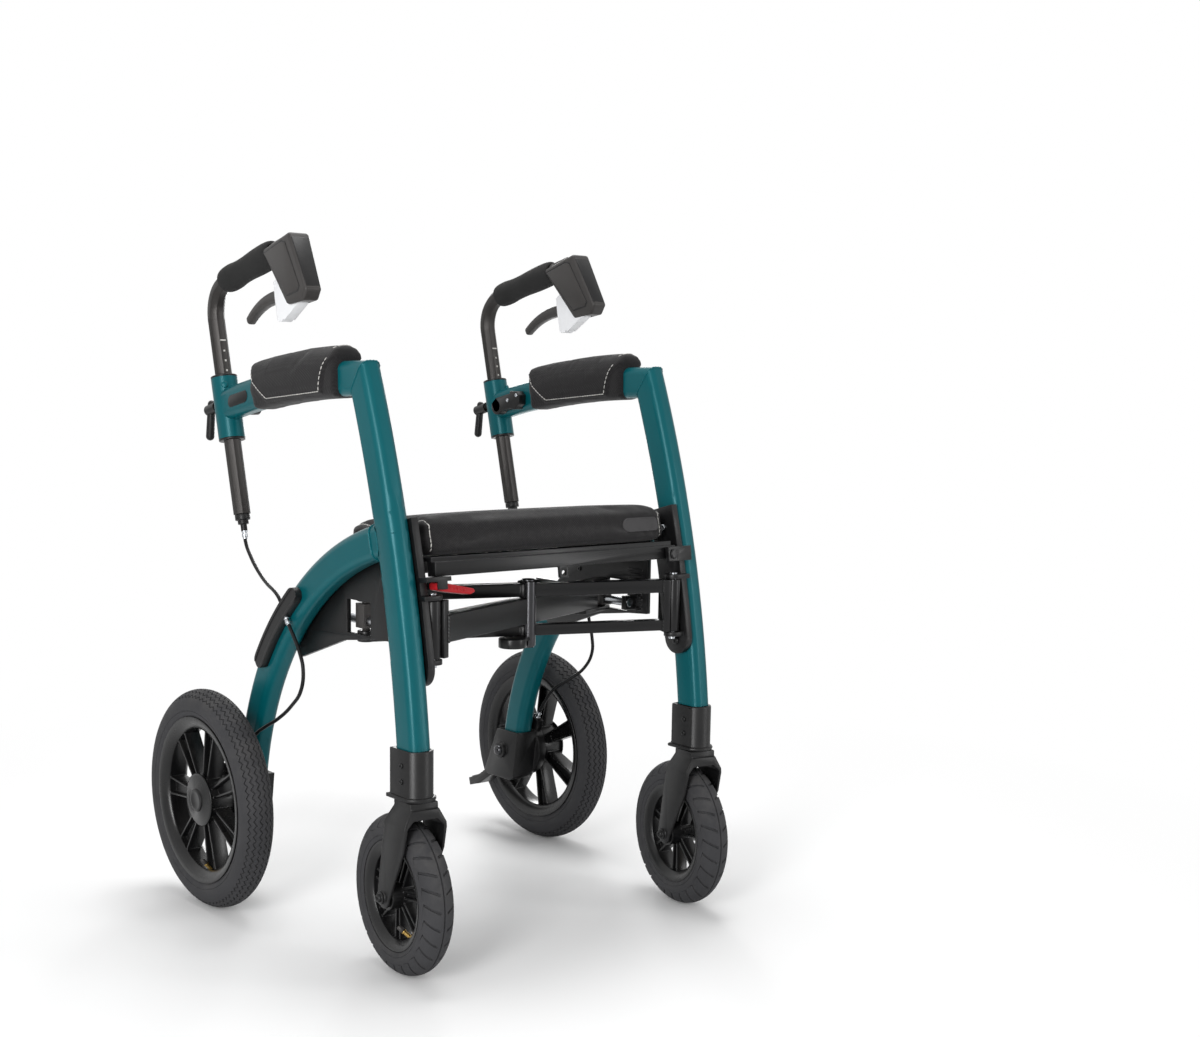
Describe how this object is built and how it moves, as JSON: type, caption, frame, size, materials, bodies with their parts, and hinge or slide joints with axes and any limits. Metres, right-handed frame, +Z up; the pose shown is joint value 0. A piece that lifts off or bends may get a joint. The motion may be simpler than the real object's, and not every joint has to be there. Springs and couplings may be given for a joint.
{
  "type": "rollator",
  "caption": "Folding rollator with a padded seat, padded armrests, swivelling casters, large rear wheels, height-adjustable turning handles and hand brakes.",
  "frame": {"origin": "on the floor, in the middle of the footprint", "axes": "+Z up, +Y to the rear where the person walks, +X to the side that carries the tipping pedal"},
  "size_m": [0.6428, 0.6528, 0.9307],
  "materials": {
    "teal_paint": "satin dark petrol paint on welded tube",
    "black_metal": "satin black powder coat",
    "grey_metal": "satin dark grey coat on an octagonal tube",
    "black_plastic": "moulded black plastic with a fine grain",
    "grey_plastic": "moulded dark grey plastic",
    "wheel_plastic": "moulded black plastic, half gloss",
    "tyre_rubber": "dark grey rubber, moulded tread",
    "black_fabric": "black woven fabric with pale stitching",
    "foam_grip": "black foam",
    "cable_jacket": "black cable jacket",
    "bright_steel": "bright steel",
    "pale_plastic": "pale grey plastic",
    "red_plastic": "red plastic"
  },
  "bodies": {
    "left_frame": {"left_leg": "teal_paint", "left_armrest": "teal_paint", "left_arch": "teal_paint", "left_collar_bushes": "black_plastic", "left_caster_housing": "black_plastic", "left_axle_bracket": "black_plastic", "left_hinge_bracket": "black_plastic", "left_side_panel": "black_plastic", "left_steel_pins": "bright_steel", "left_arm_pad": "black_fabric", "left_cable_cover": "black_plastic", "left_backrest_clip": "black_plastic", "left_lower_cable": "cable_jacket", "left_upper_cable": "cable_jacket"},
    "right_frame": {"right_leg": "teal_paint", "right_armrest": "teal_paint", "right_arch": "teal_paint", "right_collar_bushes": "black_plastic", "right_caster_housing": "black_plastic", "right_axle_bracket": "black_plastic", "right_hinge_bracket": "black_plastic", "right_side_panel": "black_plastic", "right_steel_pins": "bright_steel", "right_arm_pad": "black_fabric", "right_cable_cover": "black_plastic", "right_backrest_clip": "black_plastic", "right_lower_cable": "cable_jacket", "right_upper_cable": "cable_jacket", "tipping_pedal": "black_plastic"},
    "single_link": {"single_link": "black_metal"},
    "double_link": {"double_link": "black_metal"},
    "left_carriage": {"left_carriage": "grey_plastic"},
    "right_carriage": {"right_carriage": "grey_plastic"},
    "seat": {"seat_frame": "black_metal", "seat_cushion": "black_fabric"},
    "release_lever": {"release_lever": "red_plastic"},
    "left_caster": {"left_fork": "black_plastic"},
    "left_front_wheel": {"left_front_tyre": "tyre_rubber", "left_front_rim": "wheel_plastic"},
    "left_rear_wheel": {"left_rear_tyre": "tyre_rubber", "left_rear_rim": "wheel_plastic", "left_hub_cap": "wheel_plastic"},
    "left_plug": {"left_post_plug": "black_plastic"},
    "left_handle": {"left_handle_post": "grey_metal", "left_grip": "foam_grip", "left_brake_housing": "grey_plastic"},
    "left_brake_lever": {"left_brake_lever": "pale_plastic"},
    "left_clamp_lever": {"left_clamp_lever": "black_plastic"},
    "right_caster": {"right_fork": "black_plastic"},
    "right_front_wheel": {"right_front_tyre": "tyre_rubber", "right_front_rim": "wheel_plastic"},
    "right_rear_wheel": {"right_rear_tyre": "tyre_rubber", "right_rear_rim": "wheel_plastic", "right_hub_cap": "wheel_plastic"},
    "right_plug": {"right_post_plug": "black_plastic"},
    "right_handle": {"right_handle_post": "grey_metal", "right_grip": "foam_grip", "right_brake_housing": "grey_plastic"},
    "right_brake_lever": {"right_brake_lever": "pale_plastic"},
    "right_clamp_lever": {"right_clamp_lever": "black_plastic"}
  },
  "joints": [
    {"name": "fold", "type": "hinge", "parent": "left_frame", "child": "single_link", "pos_m": [-0.203, -0.23959, 0.44], "axis": [0, 0, 1], "range_deg": [0, 24]},
    {"name": "link_cross", "type": "hinge", "parent": "single_link", "child": "double_link", "pos_m": [0, -0.16359, 0.44], "axis": [0, 0, 1], "range_deg": [-48, 0]},
    {"name": "right_frame_hinge", "type": "hinge", "parent": "double_link", "child": "right_frame", "pos_m": [0.203, -0.23959, 0.44], "axis": [0, 0, 1], "range_deg": [0, 24]},
    {"name": "right_carriage_turn", "type": "hinge", "parent": "single_link", "child": "right_carriage", "pos_m": [0.203, -0.08759, 0.44], "axis": [0, 0, 1], "range_deg": [-24, 0]},
    {"name": "left_carriage_turn", "type": "hinge", "parent": "double_link", "child": "left_carriage", "pos_m": [-0.203, -0.08759, 0.44], "axis": [0, 0, 1], "range_deg": [0, 24]},
    {"name": "seat_flip", "type": "hinge", "parent": "right_frame", "child": "seat", "pos_m": [0.19, -0.23766, 0.51112], "axis": [0, 0.9934, -0.1149], "range_deg": [0, 80], "deforming": ["seat_cushion"]},
    {"name": "seat_release", "type": "hinge", "parent": "left_frame", "child": "release_lever", "pos_m": [-0.2, -0.24464, 0.49431], "axis": [0, -0.9934, 0.1149], "range_deg": [0, 10], "stiffness_Nm_per_rad": 0.5},
    {"name": "left_caster_swivel", "type": "hinge", "parent": "left_frame", "child": "left_caster", "pos_m": [-0.238, -0.25559, 0.25], "axis": [0, 0, 1], "continuous": true},
    {"name": "left_front_wheel_spin", "type": "hinge", "parent": "left_caster", "child": "left_front_wheel", "pos_m": [-0.23525, -0.2232, 0.1035], "axis": [0.9964, -0.0845, 0], "continuous": true},
    {"name": "left_rear_wheel_spin", "type": "hinge", "parent": "left_frame", "child": "left_rear_wheel", "pos_m": [-0.298, 0.17141, 0.155], "axis": [1, 0, 0], "continuous": true},
    {"name": "left_handle_slide", "type": "slide", "parent": "left_frame", "child": "left_plug", "axis": [0, 0.2397, 0.9708], "range_m": [-0.02, 0.09], "deforming": ["left_upper_cable"]},
    {"name": "left_handle_turn", "type": "hinge", "parent": "left_plug", "child": "left_handle", "pos_m": [-0.238, 0.21341, 0.7], "axis": [0, 0.2397, 0.9708], "range_deg": [-180, 0]},
    {"name": "left_brake_squeeze", "type": "hinge", "parent": "left_handle", "child": "left_brake_lever", "pos_m": [-0.238, 0.02229, 0.86874], "axis": [1, 0, 0], "range_deg": [-15, 14], "stiffness_Nm_per_rad": 3},
    {"name": "left_clamp_turn", "type": "hinge", "parent": "left_frame", "child": "left_clamp_lever", "pos_m": [-0.238, 0.21557, 0.70874], "axis": [0, 0.9708, -0.2397], "range_deg": [-90, 90]},
    {"name": "right_caster_swivel", "type": "hinge", "parent": "right_frame", "child": "right_caster", "pos_m": [0.238, -0.25559, 0.25], "axis": [0, 0, 1], "continuous": true},
    {"name": "right_front_wheel_spin", "type": "hinge", "parent": "right_caster", "child": "right_front_wheel", "pos_m": [0.24364, -0.22358, 0.1035], "axis": [0.9848, -0.1736, 0], "continuous": true},
    {"name": "right_rear_wheel_spin", "type": "hinge", "parent": "right_frame", "child": "right_rear_wheel", "pos_m": [0.298, 0.17141, 0.155], "axis": [1, 0, 0], "continuous": true},
    {"name": "right_handle_slide", "type": "slide", "parent": "right_frame", "child": "right_plug", "axis": [0, 0.2397, 0.9708], "range_m": [-0.02, 0.09], "deforming": ["right_upper_cable"]},
    {"name": "right_handle_turn", "type": "hinge", "parent": "right_plug", "child": "right_handle", "pos_m": [0.238, 0.21341, 0.7], "axis": [0, 0.2397, 0.9708], "range_deg": [0, 180]},
    {"name": "right_brake_squeeze", "type": "hinge", "parent": "right_handle", "child": "right_brake_lever", "pos_m": [0.238, 0.02229, 0.86874], "axis": [1, 0, 0], "range_deg": [-15, 14], "stiffness_Nm_per_rad": 3},
    {"name": "right_clamp_turn", "type": "hinge", "parent": "right_frame", "child": "right_clamp_lever", "pos_m": [0.238, 0.21557, 0.70874], "axis": [0, 0.9708, -0.2397], "range_deg": [-90, 90]}
  ],
  "couplings": [
    {"joint": "link_cross", "follows": "fold", "ratio": -2},
    {"joint": "right_frame_hinge", "follows": "fold", "ratio": 1},
    {"joint": "right_carriage_turn", "follows": "fold", "ratio": -1},
    {"joint": "left_carriage_turn", "follows": "fold", "ratio": 1},
    {"joint": "seat_flip", "follows": "fold", "ratio": 3.33}
  ]
}
